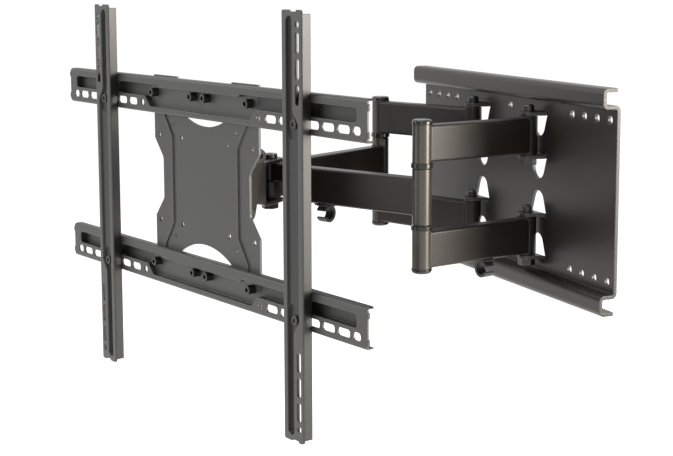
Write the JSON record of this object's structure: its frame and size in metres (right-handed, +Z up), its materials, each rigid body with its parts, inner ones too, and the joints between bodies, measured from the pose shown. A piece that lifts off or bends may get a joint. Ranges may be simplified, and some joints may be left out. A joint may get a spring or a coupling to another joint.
{
  "type": "articulated television wall mount",
  "caption": "Full-motion television wall mount: a folded wall plate, paired folding arms, a swivel and tilt head and a slotted rail frame that holds the screen.",
  "frame": {"origin": "on the wall plane, at the centre of the back of the wall plate", "axes": "+Z up, +Y into the wall, +X to the right as seen from the room"},
  "size_m": [0.6041, 0.4312, 0.44],
  "materials": {
    "black_powder_coat": "satin",
    "blackened_steel": "satin",
    "gloss_caps": "gloss",
    "ring_plastic": "satin",
    "dark_nylon": "matte",
    "clip_plastic": "matte"
  },
  "bodies": {
    "wall": {"wall_plate": "black_powder_coat", "shoulder_bolts": "blackened_steel", "shoulder_nuts": "blackened_steel"},
    "right_first_stage": {"right_upper_arm": "black_powder_coat", "right_lower_arm": "black_powder_coat", "right_shoulder_bushes": "dark_nylon", "right_elbow_pin": "blackened_steel", "right_elbow_rings": "ring_plastic", "right_elbow_caps": "gloss_caps", "arm_cable_clip": "clip_plastic"},
    "left_first_stage": {"left_upper_arm": "black_powder_coat", "left_lower_arm": "black_powder_coat", "left_shoulder_bushes": "dark_nylon", "left_elbow_pin": "blackened_steel", "left_elbow_rings": "ring_plastic", "left_elbow_caps": "gloss_caps"},
    "right_forearm": {"right_forearm": "black_powder_coat", "right_elbow_bushes": "dark_nylon", "head_bush": "dark_nylon", "forearm_cable_clip": "clip_plastic"},
    "left_forearm": {"left_forearm": "black_powder_coat", "left_elbow_bushes": "dark_nylon"},
    "head_pin": {"head_pin": "blackened_steel", "head_pin_nut": "blackened_steel"},
    "head": {"swivel_yoke": "black_powder_coat", "tilt_pivot_bolts": "blackened_steel", "tilt_lock_bolts": "blackened_steel", "tilt_nuts": "blackened_steel"},
    "screen_frame": {"tilt_bracket": "black_powder_coat", "centre_plate": "black_powder_coat", "upper_left_rail": "black_powder_coat", "upper_right_rail": "black_powder_coat", "lower_left_rail": "black_powder_coat", "lower_right_rail": "black_powder_coat", "upper_joiner_plate": "black_powder_coat", "lower_joiner_plate": "black_powder_coat", "rail_screws": "blackened_steel", "rail_nuts": "blackened_steel", "left_upright_rail": "black_powder_coat", "right_upright_rail": "black_powder_coat", "upright_screws": "blackened_steel", "upright_nuts": "blackened_steel"}
  },
  "joints": [
    {"name": "left_shoulder", "type": "hinge", "parent": "wall", "child": "left_first_stage", "pos_m": [-0.064, -0.018, 0], "axis": [0, 0, 1], "range_deg": [-12.5, 53]},
    {"name": "right_shoulder", "type": "hinge", "parent": "wall", "child": "right_first_stage", "pos_m": [0.064, -0.018, 0], "axis": [0, 0, 1], "range_deg": [-20.8, 5.3]},
    {"name": "right_elbow", "type": "hinge", "parent": "right_first_stage", "child": "right_forearm", "pos_m": [0.0912, -0.16551, 0], "axis": [0, 0, 1], "range_deg": [-15.1, 62.6]},
    {"name": "left_elbow", "type": "hinge", "parent": "left_first_stage", "child": "left_forearm", "pos_m": [-0.20241, -0.07582, 0], "axis": [0, 0, 1], "range_deg": [-64.4, 15.6]},
    {"name": "head_pin_turn", "type": "hinge", "parent": "right_forearm", "child": "head_pin", "pos_m": [-0.1, -0.266, 0], "axis": [0, 0, 1], "range_deg": [-42.3, 10.4]},
    {"name": "head_swivel", "type": "hinge", "parent": "head_pin", "child": "head", "pos_m": [-0.1, -0.266, 0], "axis": [0, 0, 1], "range_deg": [-50, 12]},
    {"name": "head_tilt", "type": "hinge", "parent": "head", "child": "screen_frame", "pos_m": [-0.09109, -0.30397, 0.034], "axis": [0.9736, 0.2284, 0], "range_deg": [-2, 12]}
  ],
  "couplings": [
    {"joint": "right_shoulder", "follows": "left_shoulder", "ratio": -0.3837},
    {"joint": "right_elbow", "follows": "left_shoulder", "ratio": 1.172},
    {"joint": "left_elbow", "follows": "left_shoulder", "ratio": -1.2055},
    {"joint": "head_pin_turn", "follows": "left_shoulder", "ratio": -0.7883}
  ]
}
